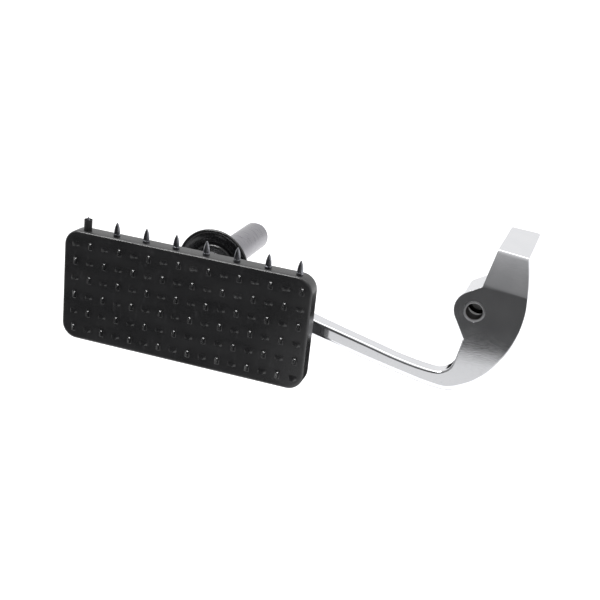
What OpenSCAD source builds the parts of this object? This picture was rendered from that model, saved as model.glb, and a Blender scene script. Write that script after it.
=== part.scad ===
// Meat grip arm of a food slicer: toothed pusher plate, hand guard and handle on a J-shaped arm
// that slides and swings on the slicer's slide rod.
// Origin: middle of the slide bore. +X from the handle to the bore, +Y from the teeth to the
// handle, +Z towards the edge that carries the spikes. Millimetres.

/* [Slide hub] */
// Diameter of the slide rod that the arm runs on
rod_d = 12.7; // [12:0.1:13]
// Radial running clearance on the slide rod
rod_gap = 0.05; // [0.03:0.01:0.08]
// Outer diameter of the slide bushes
bush_od = 16; // [15.5:0.1:18]
// Length of each slide bush
bush_len = 12; // [8:0.5:13]
// Outer diameter of the hub
hub_od = 32; // [30:0.5:32]
// Length of the hub along the rod
hub_len = 36; // [34:1:40]

/* [Arm] */
// Distance from the slide bore to the handle axis, along X
reach = 224; // [215:1:240]
// Drop from the slide bore to the handle axis
drop = 18; // [16:1:20]
// Depth of the straight run and of the eye
run_depth = 14; // [12:0.5:15]
// Height of the straight run
run_h = 14; // [12:0.5:15]
// Slope of the straight run, as rise over length
run_slope = 0.225; // [0.21:0.005:0.24]
// Outer diameter of the eye that holds the stud
eye_od = 30; // [26:1:32]
// Length of the rest tab behind the head
tab_len = 72; // [40:1:80]
// Thickness of the rest tab
tab_t = 5; // [4:0.5:8]

/* [Grip plate] */
// Width of the plate
plate_w = 211; // [206:1:214]
// Height of the plate
plate_h = 93.4; // [92:0.1:94]
// Thickness of the plate, teeth left out
plate_t = 16; // [15:0.5:18]
// Radius of the plate's corners
plate_r = 13; // [8:0.5:16]
// Thickness of the front wall
face_t = 4; // [3:0.5:4.5]
// Thickness of the rim and of the ribs
rib_t = 3; // [2:0.5:4]
// Columns of teeth
tooth_cols = 16; // [12:1:16]
// Rows of teeth
tooth_rows = 6; // [4:1:6]
// Pitch between columns of teeth
tooth_px = 12.8; // [11:0.1:12.8]
// Pitch between rows of teeth
tooth_pz = 14.4; // [12:0.1:14.4]
// Height of a tooth above the face
tooth_h = 3.5; // [2:0.5:5]

/* [Spikes] */
// Number of spikes on the top edge
spike_n = 8; // [8:1:8]
// Spacing between spikes
spike_pitch = 25.8; // [24:0.1:25.8]
// Height of a spike above the edge
spike_h = 11; // [8:0.5:14]
// Diameter of a spike just above its collar
spike_d = 4.8; // [3.6:0.1:5]

/* [Handle] */
// Diameter of the handle tube
tube_d = 25; // [24:0.5:28]
// Wall of the handle tube
tube_wall = 2; // [1.5:0.5:2]
// Length of the handle tube
tube_len = 92; // [70:1:110]
// Diameter of the hand guard
guard_d = 63; // [60:1:70]
// Diameter of the stud's journal
journal_d = 12; // [11.5:0.1:12.2]

/* [Hidden] */
$fn = 64;

fit = 0.05;          // radial gap of a turned or pressed fit
cut = 1;             // how far a cutting tool runs past a face
front = -hub_len / 2;              // front face of the whole arm
back = hub_len / 2;                // back face of the head
eye_back = front + run_depth;      // back face of the run and of the eye
axis_x = -reach;                   // handle axis
axis_z = -drop;

// Grip plate, seen along Y
plate_cz = -drop - 18.6;             // middle of the plate's height
tooth_shift = 1.8;                 // the tooth field sits this far towards the arm
plate_top = plate_cz + plate_h / 2;
plate_back = front - 18;           // back of the plate, clear of the arm
plate_face = plate_back - plate_t; // front face that carries the teeth
inner_face = plate_face + face_t;
spike_y = plate_face + plate_t / 2;

// Pivot, along Y from the teeth to the handle
flange_t = 4;
flange_r = 22;
flange_front = plate_back - flange_t;
boss_r = 13;
boss_end = front - 2.2;            // 0.2 mm short of the thrust washer
pocket_floor = flange_front - 5.5;
head_front = flange_front - 4;     // the stud's head turns inside the plate's pocket
head_back = flange_front - 1;
head_r = 11;
journal_r = journal_d / 2;
shank_r = 5;
screw_pcd = 35;
screw_r = 2;

// Handle, along Y
spacer_r = 13;
spacer_end = eye_back + 11;
guard_back = spacer_end + 10;      // the tube starts here
tube_end = guard_back + tube_len;
core_len = 22;
core_end = guard_back + core_len;
nut_t = 8;
washer_t = 2;
stud_end = core_end + washer_t + nut_t + 2;
tube_r = tube_d / 2;
tube_in = tube_r - tube_wall;

// Outline of the arm in X and Z: the edge that starts below the eye and runs round the bend to
// the top of the head, and the inner edge from above the eye to the hub's lower flank.
head_top = 48.3;
head_left = 8.5;
head_right = 31.5;
head_tilt = 5.7;                   // the head leans this many degrees to its outer side
bend_start = -78;
flank_low = [-5.2, -24];
flank_high = [2.7, 20.4];
function run_z(x) = axis_z - 1.75 - run_slope * (x - axis_x);
outer_keys = [
  [axis_x, run_z(axis_x) - run_h / 2], [-122, run_z(-122) - run_h / 2],
  [bend_start, run_z(bend_start) - run_h / 2], [-44, -66.3], [-26, -69.4], [-9.5, -69.5],
  [5, -62.4], [16.4, -51.6], [25.3, -38.6], [31.8, -25], [36, -9], [37.8, 6], [37, 20],
  [35.2, 33], [head_right, head_top]
];
inner_keys = [
  [axis_x, run_z(axis_x) + run_h / 2], [-122, run_z(-122) + run_h / 2],
  [bend_start, run_z(bend_start) + run_h / 2], [-56, -50.7], [-36, -54.1], [-22, -55],
  [-15.5, -52.8], [-11, -48.6], [-8.6, -42], [-6.8, -33], flank_low
];

// Point at t between p1 and p2 of a smooth curve through four points
function curve_at(p0, p1, p2, p3, t) =
  0.5 * (2 * p1 + (p2 - p0) * t + (2 * p0 - 5 * p1 + 4 * p2 - p3) * t * t
         + (3 * p1 - p0 - 3 * p2 + p3) * t * t * t);
// Smooth curve through a list of points, with n steps in each stretch
function smooth(p, n) = [
  for (i = [0 : len(p) - 2]) for (k = [0 : n - 1])
    curve_at(p[max(i - 1, 0)], p[i], p[i + 1], p[min(i + 2, len(p) - 1)], k / n),
  p[len(p) - 1]
];
function reversed(p) = [for (i = [len(p) - 1 : -1 : 0]) p[i]];
function arc(c, r, a0, a1, n) = [
  for (i = [0 : n]) c + r * [cos(a0 + (a1 - a0) * i / n), sin(a0 + (a1 - a0) * i / n)]
];

// Turns a shape drawn in X and Z into a slab from y0 to y1
module slab(y0, y1) {
  translate([0, y1, 0]) rotate([90, 0, 0]) linear_extrude(y1 - y0) children();
}

// A rod or a bore along Y, from y0 to y1, on the axis through x and z
module along_y(r, y0, y1, x = 0, z = 0) {
  translate([x, y1, z]) rotate([90, 0, 0]) cylinder(r = r, h = y1 - y0);
}

// A solid turned about an axis along Y: points are [radius, y]
module turned_y(x, z) {
  translate([x, 0, z]) rotate([-90, 0, 0]) rotate_extrude() children();
}

// Ring along Y with a true bore
module ring_y(r_out, r_in, y0, y1, x = 0, z = 0) {
  difference() {
    along_y(r_out, y0, y1, x, z);
    along_y(r_in, y0 - cut, y1 + cut, x, z);
  }
}

// ---- Arm --------------------------------------------------------------------------------

module arm_outline() {
  polygon(concat(smooth(outer_keys, 6), [[head_left, head_top], flank_high],
                 reversed(smooth(inner_keys, 6))));
  circle(r = hub_od / 2);
  flank_r = hub_od / 2 - 0.6;
  polygon([flank_high, [10, 0], flank_low, flank_r * [cos(208), sin(208)],
           flank_r * [cos(122), sin(122)]]);
}

// Side view of the head in Y and Z: flat front that leans back above the hub, thin at the bend,
// full depth at the hub, and the rest tab behind the top
module head_side() {
  lean_end = front + 10;
  under_tab = head_top - tab_t;
  fillet = 12;
  polygon(concat(
    [[front, -80], [front, flank_high[1]], [lean_end, head_top - 1.2], [lean_end + 1, head_top],
     [lean_end + tab_len, head_top], [lean_end + tab_len, under_tab]],
    arc([back + fillet, under_tab - fillet], fillet, 90, 180, 8),
    [[back, -18], [eye_back + 0.5, -50], [eye_back + 0.5, -80]]
  ));
}

module arm() {
  split = -30;
  color("silver") difference() {
    union() {
      intersection() {
        slab(front, back + tab_len) arm_outline();
        union() {
          translate([axis_x, front, -100]) cube([reach + split, run_depth, 150]);
          translate([head_left, 0, head_top]) rotate([0, head_tilt, 0])
            translate([split - head_left, 0, -head_top]) rotate([90, 0, 90])
              linear_extrude(80) head_side();
        }
      }
      along_y(eye_od / 2, front, eye_back, axis_x, axis_z);
    }
    along_y(bush_od / 2 + fit, front - cut, back + cut);
    along_y(shank_r + fit, front - cut, eye_back + cut, axis_x, axis_z);
  }
}

module slide_bush(y0) {
  color("gainsboro") ring_y(bush_od / 2, rod_d / 2 + rod_gap, y0, y0 + bush_len);
}

module slide_bush_front() {
  slide_bush(front);
}

module slide_bush_rear() {
  slide_bush(back - bush_len);
}

// ---- Pivot --------------------------------------------------------------------------------

// Headed stud: the journal carries the flange, the shank passes through the eye and the handle
module pivot_stud() {
  color("lightgray") turned_y(axis_x, axis_z) polygon([
    [0, head_front], [head_r - 0.6, head_front], [head_r, head_front + 0.6],
    [head_r, head_back], [journal_r, head_back], [journal_r, front], [shank_r, front],
    [shank_r, stud_end - 1], [shank_r - 1, stud_end], [0, stud_end]
  ]);
}

module thrust_washer() {
  color("ivory") ring_y(eye_od / 2 - 1, journal_r + fit, front - 2, front, axis_x, axis_z);
}

// Friction washer under the stud's head
module wave_washer() {
  color("dimgray") ring_y(head_r - 1, journal_r + 0.2, head_back, head_back + 0.8,
                          axis_x, axis_z);
}

// Flange with the bearing boss, screwed to the back of the plate
module pivot_flange() {
  color("silver") difference() {
    union() {
      along_y(flange_r, flange_front, plate_back, axis_x, axis_z);
      along_y(boss_r, plate_back - cut, boss_end, axis_x, axis_z);
    }
    along_y(journal_r + 1.5 + fit, flange_front - cut, boss_end + cut, axis_x, axis_z);
    screw_places() along_y(screw_r + 0.2, flange_front - cut, plate_back + cut);
  }
}

module flange_bush() {
  color("peru") ring_y(journal_r + 1.5, journal_r + fit, flange_front, boss_end,
                       axis_x, axis_z);
}

// The four screw places round the pivot
module screw_places() {
  for (a = [45 : 90 : 315])
    translate([axis_x + screw_pcd / 2 * cos(a), 0, axis_z + screw_pcd / 2 * sin(a)])
      children();
}

module flange_screws() {
  head = 2.4;
  length = 11;
  color("lightgray") screw_places() difference() {
    union() {
      along_y(screw_r * 1.9, plate_back, plate_back + head);
      along_y(screw_r, plate_back - length, plate_back + cut);
    }
    translate([0, plate_back + head, 0]) cube([5, 2, 0.9], center = true);
  }
}

// ---- Handle -------------------------------------------------------------------------------

module guard_spacer() {
  color("silver") ring_y(spacer_r, shank_r + fit, eye_back, spacer_end, axis_x, axis_z);
}

// Dished guard, hollow side towards the plate, with a raised collar round the spacer
module hand_guard() {
  rim_r = guard_d / 2;
  collar_r = 19;
  color([0.07, 0.07, 0.08]) turned_y(axis_x, axis_z) polygon(concat(
    [[shank_r + fit, spacer_end], [collar_r - 1, spacer_end], [collar_r, spacer_end + 1],
     [collar_r + 0.5, spacer_end + 5]],
    [for (i = [0 : 6]) [collar_r + 1 + (rim_r - collar_r - 4) * i / 6,
                        spacer_end + 5.6 - 3 * pow(i / 6, 2)]],
    arc([rim_r - 1.5, spacer_end + 3], 1.5, -120, 60, 8),
    [for (i = [0 : 6]) [rim_r - 2 - (rim_r - tube_r - 3.5) * i / 6,
                        spacer_end + 5.2 + 4.3 * sqrt(i / 6)]],
    [[tube_r + 1, guard_back], [shank_r + fit, guard_back]]
  ));
}

module handle_tube() {
  color([0.72, 0.72, 0.75]) ring_y(tube_r, tube_in, guard_back, tube_end, axis_x, axis_z);
}

module handle_core() {
  color("silver") ring_y(tube_in - fit, shank_r + fit, guard_back, core_end, axis_x, axis_z);
}

module core_washer() {
  color("lightgray") ring_y(9.5, shank_r + fit, core_end, core_end + washer_t, axis_x, axis_z);
}

module lock_nut() {
  nut_r = 16.5 / 2 / cos(30);
  nut_y = core_end + washer_t;
  color("lightgray") difference() {
    translate([axis_x, nut_y + nut_t, axis_z]) rotate([90, 0, 0])
      cylinder(r = nut_r, h = nut_t, $fn = 6);
    along_y(shank_r + fit, nut_y - cut, nut_y + nut_t + cut, axis_x, axis_z);
  }
}

// Domed plug that closes the tube
module end_plug() {
  dome = 4;
  spigot = 12;
  color([0.68, 0.68, 0.71]) turned_y(axis_x, axis_z) polygon(concat(
    [[0, tube_end - spigot], [tube_in - fit - 1, tube_end - spigot],
     [tube_in - fit, tube_end - spigot + 1], [tube_in - fit, tube_end], [tube_r, tube_end]],
    arc([tube_r - dome, tube_end], dome, 0, 90, 8),
    [[0, tube_end + dome]]
  ));
}

// ---- Grip plate ---------------------------------------------------------------------------

module rounded_plate(w, h, r) {
  square([w - 2 * r, h], center = true);
  square([w, h - 2 * r], center = true);
  for (sx = [-1, 1]) for (sz = [-1, 1])
    translate([sx * (w / 2 - r), sz * (h / 2 - r)]) circle(r = r);
}

function tooth_x(c) = axis_x + tooth_shift + (c - (tooth_cols - 1) / 2) * tooth_px;
function tooth_z(r) = plate_cz + (r - (tooth_rows - 1) / 2) * tooth_pz;

// Chisel tooth: a ridge of triangular section, lying or standing
module tooth(lying) {
  length = lying ? 5 : 5.5;
  sink = 0.3;
  base = 3.2;
  rotate([0, lying ? 0 : 90, 0]) translate([-length / 2, 0, 0]) rotate([90, 0, 90])
    linear_extrude(length)
      polygon([[sink, -base / 2], [-tooth_h, -0.3], [-tooth_h, 0.3], [sink, base / 2]]);
}

module spike_at(i) {
  translate([axis_x + tooth_shift + (i - (spike_n - 1) / 2) * spike_pitch, spike_y, plate_top])
    children();
}

module grip_plate() {
  pad_r = flange_r + 2.5;
  spike_pad = 4.6;
  spike_deep = 14;
  color([0.09, 0.09, 0.1]) difference() {
    union() {
      difference() {
        translate([axis_x, 0, plate_cz]) slab(plate_face, plate_back)
          rounded_plate(plate_w, plate_h, plate_r);
        translate([axis_x, 0, plate_cz]) slab(inner_face, plate_back + cut)
          rounded_plate(plate_w - 2 * rib_t, plate_h - 2 * rib_t, plate_r - rib_t);
      }
      for (c = [0 : tooth_cols - 1]) for (r = [0 : tooth_rows - 1])
        translate([tooth_x(c), plate_face, tooth_z(r)]) tooth((c + r) % 2 == 1);
      along_y(pad_r, inner_face - cut, flange_front, axis_x, axis_z);
      for (sx = [-1, 1]) {
        translate([axis_x + sx * 33 - rib_t / 2, inner_face - cut, plate_cz - plate_h / 2 + 1])
          cube([rib_t, plate_t - face_t, plate_h - 2]);
        translate([axis_x + sx * 68 - rib_t / 2, inner_face - cut, plate_cz - plate_h / 2 + 1])
          cube([rib_t, plate_t - face_t, plate_h - 2]);
      }
      translate([axis_x - plate_w / 2 + 1, inner_face - cut, plate_cz - rib_t / 2])
        cube([plate_w / 2 - pad_r, plate_t - face_t, rib_t]);
      translate([axis_x + pad_r - 1, inner_face - cut, plate_cz - rib_t / 2])
        cube([plate_w / 2 - pad_r, plate_t - face_t, rib_t]);
      for (i = [0 : spike_n - 1]) spike_at(i)
        translate([0, 0, -spike_deep]) cylinder(r = spike_pad, h = spike_deep - 1);
    }
    along_y(flange_r + 0.3, flange_front, plate_back + cut, axis_x, axis_z);
    along_y(head_r + 2, pocket_floor, plate_back + cut, axis_x, axis_z);
    screw_places() along_y(screw_r + fit, plate_back - 11.5, plate_back);
    for (i = [0 : spike_n - 1]) spike_at(i)
      translate([0, 0, -12.5]) cylinder(r = 1.5 + fit, h = 14);
  }
}

// Steel spike: shank in the plate, collar on the edge, slender bullet-shaped point
module spike(i) {
  collar_r = 2.8;
  collar_h = 1.5;
  shank = 12;
  tip_r = 0.4;
  steps = 10;
  color([0.45, 0.46, 0.5]) spike_at(i) rotate_extrude() polygon(concat(
    [[0, -shank], [1.5, -shank], [1.5, 0], [collar_r, 0], [collar_r, collar_h]],
    [for (k = [0 : steps]) let (t = k / steps)
      [tip_r + (spike_d / 2 - tip_r) * (1 - pow(t, 2.4)),
       collar_h + (spike_h - collar_h) * t]],
    [[0, spike_h]]
  ));
}

// Cover pushed over the end spike, with the tip showing
module spike_sleeve() {
  sleeve_r = 3.3;
  sleeve_top = spike_h - 2.2;
  color([0.08, 0.08, 0.09]) spike_at(0) difference() {
    cylinder(r = sleeve_r, h = sleeve_top);
    translate([0, 0, -cut]) cylinder(r = 2.9, h = sleeve_top + 2 * cut);
  }
}

arm();
slide_bush_front();
slide_bush_rear();
pivot_stud();
thrust_washer();
wave_washer();
guard_spacer();
hand_guard();
handle_tube();
handle_core();
core_washer();
lock_nut();
end_plug();
grip_plate();
pivot_flange();
flange_bush();
flange_screws();
for (i = [0 : spike_n - 1])
  spike(i);
spike_sleeve();
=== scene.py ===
"""Looks of a food slicer's meat grip arm: polished cast arm with its slide hub, black toothed grip
plate with steel spikes, glossy hand guard and satin tube handle. Lengths are in millimetres until a
surface becomes a mesh."""
import math

import bpy
import bmesh
import numpy as np
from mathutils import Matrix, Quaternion, Vector


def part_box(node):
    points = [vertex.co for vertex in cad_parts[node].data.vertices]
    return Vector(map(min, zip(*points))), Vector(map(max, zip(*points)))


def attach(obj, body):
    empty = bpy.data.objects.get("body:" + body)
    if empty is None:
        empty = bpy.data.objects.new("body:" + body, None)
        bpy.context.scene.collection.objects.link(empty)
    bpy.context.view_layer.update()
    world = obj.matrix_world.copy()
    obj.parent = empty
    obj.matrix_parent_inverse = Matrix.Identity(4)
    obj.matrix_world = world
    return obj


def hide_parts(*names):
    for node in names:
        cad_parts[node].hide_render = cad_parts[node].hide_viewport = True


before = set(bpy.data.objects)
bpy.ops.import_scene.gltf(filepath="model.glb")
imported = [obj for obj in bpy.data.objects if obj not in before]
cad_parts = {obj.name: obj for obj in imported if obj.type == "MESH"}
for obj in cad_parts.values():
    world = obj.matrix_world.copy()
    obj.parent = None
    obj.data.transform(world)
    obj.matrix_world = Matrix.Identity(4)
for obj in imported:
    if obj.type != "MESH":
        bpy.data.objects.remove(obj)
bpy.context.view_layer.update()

MM = 0.001
ARM_BODY = "arm_assembly"
GRIP_BODY = "grip_assembly"


def packed(node):
    """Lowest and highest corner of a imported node, in millimetres."""
    low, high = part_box(node)
    return np.array(low) / MM, np.array(high) / MM


# ---- Sizes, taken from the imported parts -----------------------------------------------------

tube_low, tube_high = packed("handle_tube")
AXIS_X = (tube_low[0] + tube_high[0]) / 2
AXIS_Z = (tube_low[2] + tube_high[2]) / 2
TUBE_R = (tube_high[0] - tube_low[0]) / 2
TUBE_START, TUBE_END = tube_low[1], tube_high[1]

bush_low, bush_high = packed("slide_bush_front")
rear_bush_low, rear_bush_high = packed("slide_bush_rear")
FRONT, BACK = bush_low[1], rear_bush_high[1]
BUSH_R = bush_high[0]
ROD_BORE_R = 6.4
HUB_R = 16

eye_low, eye_high = packed("guard_spacer")
EYE_BACK, SPACER_END = eye_low[1], eye_high[1]
EYE_R = 15
SHANK_BORE_R = 5.05
RUN_H = 14
RUN_DROP = 1.75
RUN_SLOPE = 0.225
BEND_START = -78

guard_low, guard_high = packed("hand_guard")
GUARD_R = (guard_high[0] - guard_low[0]) / 2

plate_low, plate_high = packed("grip_plate")
TOOTH_H = 3.5
PLATE_W = plate_high[0] - plate_low[0]
PLATE_H = plate_high[2] - plate_low[2]
PLATE_FACE = plate_low[1] + TOOTH_H
PLATE_BACK = plate_high[1]
PLATE_X = (plate_low[0] + plate_high[0]) / 2
PLATE_Z = (plate_low[2] + plate_high[2]) / 2
CORNER_R = 13
WALL = 4
RIB = 3
RIB_PLACES = (-68, -33, 33, 68)
INNER_FACE = PLATE_FACE + WALL

flange_low, flange_high = packed("pivot_flange")
FLANGE_R = (flange_high[0] - flange_low[0]) / 2
FLANGE_FRONT, BOSS_END = flange_low[1], flange_high[1]


# ---- Surfaces -------------------------------------------------------------------------------

def through(keys, t):
    """Smooth curve through key points: each stretch is a cubic whose end slopes are half the chord
    between the neighbouring keys. t counts keys, so 2.5 is halfway between keys 2 and 3."""
    keys = np.asarray(keys, float)
    last = len(keys) - 1
    i = np.clip(np.floor(t).astype(int), 0, last - 1)
    f = (t - i)[:, None]
    p0, p1, p2, p3 = keys[np.maximum(i - 1, 0)], keys[i], keys[i + 1], keys[np.minimum(i + 2, last)]
    return 0.5 * (2 * p1 + (p2 - p0) * f + (2 * p0 - 5 * p1 + 4 * p2 - p3) * f**2
                  + (3 * p1 - p0 - 3 * p2 + p3) * f**3)


def softened(points, radii, steps=5):
    """Open outline with rounded corners: each inner corner P becomes the parabola
    (1-t)^2 A + 2t(1-t) P + t^2 B, where A and B lie on its two sides, a radius away from it."""
    p = np.asarray(points, float)
    r = np.broadcast_to(np.asarray(radii, float), (len(p) - 2,))
    side = np.diff(p, axis=0)
    length = np.linalg.norm(side, axis=1)
    unit = side / length[:, None]
    reach = np.minimum(r, 0.499 * np.minimum(length[:-1], length[1:]))[:, None, None]
    t = np.linspace(0, 1, steps + 1)[None, :, None]
    corner = p[1:-1, None, :]
    before = corner - unit[:-1, None, :] * reach
    after = corner + unit[1:, None, :] * reach
    arcs = (1 - t)**2 * before + 2 * t * (1 - t) * corner + t**2 * after
    return np.concatenate([p[:1], arcs.reshape(-1, p.shape[1]), p[-1:]])


def skin(grid, cap_first=False, cap_last=False, loop_rows=False):
    """Vertices and faces of a grid of rings: neighbouring rings are joined by four-sided faces, each
    ring closes on itself, and the end rings may be filled."""
    rows, cols = grid.shape[:2]
    index = np.arange(rows * cols).reshape(rows, cols)
    lower = index if loop_rows else index[:-1]
    upper = np.roll(index, -1, axis=0) if loop_rows else index[1:]
    quads = np.stack([lower, np.roll(lower, -1, 1), np.roll(upper, -1, 1), upper], axis=-1)
    faces = quads.reshape(-1, 4).tolist()
    if cap_first:
        faces.append(index[0, ::-1].tolist())
    if cap_last:
        faces.append(index[-1].tolist())
    return grid.reshape(-1, 3), faces


def joined(skins):
    """Several skins as one list of vertices and faces."""
    start = np.cumsum([0] + [len(v) for v, f in skins])
    vertices = np.concatenate([v for v, f in skins])
    faces = [[i + s for i in face] for (v, f), s in zip(skins, start) for face in f]
    return vertices, faces


def turned(profile, x=0.0, y=0.0, z=0.0, along="y", count=96, closed=False):
    """Solid turned about an axis: the point (radius r, place h) of the profile goes round the circle
    centre + r (cos a, sin a), h along the axis. A closed profile makes a ring with a bore."""
    r, h = np.asarray(profile, float).T
    a = np.linspace(0, 2 * np.pi, count, endpoint=False)
    ring_a, ring_b = np.outer(r, np.cos(a)), np.outer(r, np.sin(a))
    level = np.repeat(h[:, None], count, 1)
    if along == "y":
        grid = np.stack([x + ring_a, y + level, z + ring_b], axis=-1)
    else:
        grid = np.stack([x + ring_a, y + ring_b, z + level], axis=-1)
    return skin(grid, loop_rows=closed)


def ring_profile(outer, inner, start, end, edge=0.5):
    """Closed profile of a ring with rounded edges."""
    middle = (start + end) / 2
    loop = [(inner, middle), (inner, start), (outer, start), (outer, end), (inner, end),
            (inner, middle)]
    return softened(loop, edge, 4)[:-1]


def four_rails(rails, radii, inset=0.0, steps=5, hold=0.5):
    """Grid between four rails, ring by ring. Fractions (p, q) across and deep give the point
    (1-p)(1-q) A + p(1-q) B + pq C + (1-p)q D, and the ring is the unit square in p and q with each
    corner turned into a quarter circle of its own radius. Held points keep the sides flat."""
    a, b, c, d = rails
    width = np.linalg.norm(b - a, axis=1)[:, None]
    depth = np.linalg.norm(d - a, axis=1)[:, None]
    inset = np.broadcast_to(inset, (len(a),))[:, None]
    turn = np.linspace(0, np.pi / 2, steps + 1)
    come = np.concatenate([[0], 1 - np.sin(turn), [0]])
    leave = np.concatenate([[0], 1 - np.cos(turn), [0]])
    come_hold = np.concatenate([[1], np.zeros(steps + 2)])
    leave_hold = np.concatenate([np.zeros(steps + 2), [1]])
    come[0], leave[-1] = 1, 1
    corners = [((0, 0), (0, -1), (1, 0)), ((1, 0), (1, 0), (0, 1)),
               ((1, 1), (0, 1), (-1, 0)), ((0, 1), (-1, 0), (0, -1))]
    across, deep = [], []
    for (corner, inward, outward), radius in zip(corners, radii):
        r = np.broadcast_to(radius, (len(a),))[:, None]
        back = r * come + hold * come_hold
        on = r * leave + hold * leave_hold
        for axis, size, out in ((0, width, across), (1, depth, deep)):
            start = inset + corner[axis] * (size - 2 * inset)
            out.append((start - inward[axis] * back + outward[axis] * on) / size)
    p = np.concatenate(across, axis=1)[..., None]
    q = np.concatenate(deep, axis=1)[..., None]
    a, b, c, d = (rail[:, None, :] for rail in rails)
    return (1 - p) * (1 - q) * a + p * (1 - q) * b + p * q * c + (1 - p) * q * d


def mesh_of(name, vertices, faces, crease=35):
    """Mesh in metres with doubles merged, faces outwards, smooth but for edges sharper than crease."""
    mesh = bpy.data.meshes.new(name)
    mesh.from_pydata((np.asarray(vertices) * MM).tolist(), [], faces)
    work = bmesh.new()
    work.from_mesh(mesh)
    bmesh.ops.remove_doubles(work, verts=work.verts, dist=2e-6)
    bmesh.ops.dissolve_degenerate(work, edges=work.edges, dist=1e-6)
    bmesh.ops.recalc_face_normals(work, faces=work.faces)
    work.to_mesh(mesh)
    work.free()
    return shaded(mesh, crease)


def shaded(mesh, crease=35):
    """Smooth shading that keeps edges sharper than the crease angle."""
    mesh.polygons.foreach_set("use_smooth", np.ones(len(mesh.polygons), bool))
    mesh.set_sharp_from_angle(angle=math.radians(crease))
    mesh.update()
    return mesh


def piece(name, surface, material, body, slot, *nodes, crease=35):
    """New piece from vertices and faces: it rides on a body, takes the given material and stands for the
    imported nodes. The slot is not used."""
    made = bpy.data.objects.new(name, mesh_of(name, *surface, crease=crease))
    bpy.context.scene.collection.objects.link(made)
    made.data.materials.append(material)
    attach(made, body)
    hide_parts(*nodes)
    return made


def carved(target, cutters, operation="DIFFERENCE", crease=35):
    """Cuts the target with closed cutters, or joins them to it, and keeps the result as its mesh."""
    tools = []
    for number, surface in enumerate(cutters):
        tool = bpy.data.objects.new(f"tool_{number}", mesh_of("tool", *surface))
        bpy.context.scene.collection.objects.link(tool)
        step = target.modifiers.new(f"step_{number}", "BOOLEAN")
        step.operation = operation
        step.solver = "EXACT"
        step.object = tool
        tools.append(tool)
    bpy.context.view_layer.update()
    ready = target.evaluated_get(bpy.context.evaluated_depsgraph_get())
    mesh = bpy.data.meshes.new_from_object(ready)
    target.modifiers.clear()
    target.data = mesh
    shaded(mesh, crease)
    for tool in tools:
        bpy.data.objects.remove(tool)
    return target


# ---- Finishes -------------------------------------------------------------------------------

class Finish:
    """A material with short ways to add nodes and join them."""

    def __init__(self, name, colour, roughness, metallic=0.0):
        self.material = bpy.data.materials.new(name)
        self.material.use_nodes = True
        self.tree = self.material.node_tree
        self.shader = self.tree.nodes["Principled BSDF"]
        self.shader.inputs["Base Color"].default_value = (*colour, 1)
        self.shader.inputs["Roughness"].default_value = roughness
        self.shader.inputs["Metallic"].default_value = metallic
        self.place = self.add("ShaderNodeTexCoord").outputs["Object"]

    def add(self, kind, **values):
        """New node; a value goes to the input of that name, and a socket is linked to it."""
        made = self.tree.nodes.new(kind)
        for key, value in values.items():
            socket = made.inputs[key.replace("_", " ")]
            if isinstance(value, bpy.types.NodeSocket):
                self.tree.links.new(value, socket)
            else:
                socket.default_value = value
        return made

    def math(self, operation, first, second=0.0, third=0.0):
        """Result of an operation on up to three values or sockets."""
        made = self.tree.nodes.new("ShaderNodeMath")
        made.operation = operation
        for socket, value in zip(made.inputs, (first, second, third)):
            if isinstance(value, bpy.types.NodeSocket):
                self.tree.links.new(value, socket)
            else:
                socket.default_value = value
        return made.outputs[0]

    def stretched(self, scale):
        """Object coordinates multiplied by a scale along each axis."""
        made = self.add("ShaderNodeMapping", Vector=self.place)
        made.inputs["Scale"].default_value = scale
        return made.outputs["Vector"]

    def noise(self, vector, scale, detail=3.0, roughness=0.5):
        """Cloudy noise over a vector."""
        made = self.add("ShaderNodeTexNoise", Vector=vector, Scale=scale, Detail=detail)
        made.inputs["Roughness"].default_value = roughness
        return made.outputs["Fac"]

    def lines(self, level, per_metre, detail=4.0):
        """Random parallel lines: one-dimensional noise of a level."""
        made = self.tree.nodes.new("ShaderNodeTexNoise")
        made.noise_dimensions = "1D"
        self.tree.links.new(level, made.inputs["W"])
        made.inputs["Scale"].default_value = per_metre
        made.inputs["Detail"].default_value = detail
        made.inputs["Roughness"].default_value = 0.65
        return made.outputs["Fac"]

    def spread(self, value, low, high, start=0.3, end=0.7):
        """Value from start to end mapped to low to high, and held outside."""
        made = self.tree.nodes.new("ShaderNodeMapRange")
        self.tree.links.new(value, made.inputs["Value"])
        for key, number in (("From Min", start), ("From Max", end), ("To Min", low), ("To Max", high)):
            made.inputs[key].default_value = number
        return made.outputs["Result"]

    def blend(self, factor, first, second):
        """Colour between two colours by a factor."""
        made = self.tree.nodes.new("ShaderNodeMix")
        made.data_type = "RGBA"
        self.tree.links.new(factor, made.inputs["Factor"])
        for socket, value in ((made.inputs[6], first), (made.inputs[7], second)):
            if isinstance(value, bpy.types.NodeSocket):
                self.tree.links.new(value, socket)
            else:
                socket.default_value = (*value, 1)
        return made.outputs[2]

    def bump(self, height, strength, distance, under=None):
        """Relief that follows a height, laid over another relief where one is given."""
        made = self.add("ShaderNodeBump", Height=height, Strength=strength, Distance=distance)
        if under is not None:
            self.tree.links.new(under, made.inputs["Normal"])
        return made.outputs["Normal"]

    def wear(self, **sockets):
        """Links sockets of the shader by name."""
        for key, value in sockets.items():
            self.tree.links.new(value, self.shader.inputs[key.replace("_", " ")])
        return self.material


def about_axis(finish, x, z):
    """Distance from a line along Y and the place along it, for rings that follow a turned face."""
    apart = finish.add("ShaderNodeSeparateXYZ", Vector=finish.place).outputs
    across = finish.math("SUBTRACT", apart["X"], x * MM)
    up = finish.math("SUBTRACT", apart["Z"], z * MM)
    square = finish.math("ADD", finish.math("MULTIPLY", across, across), finish.math("MULTIPLY", up, up))
    return finish.math("SQRT", square), apart["Y"]


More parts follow.
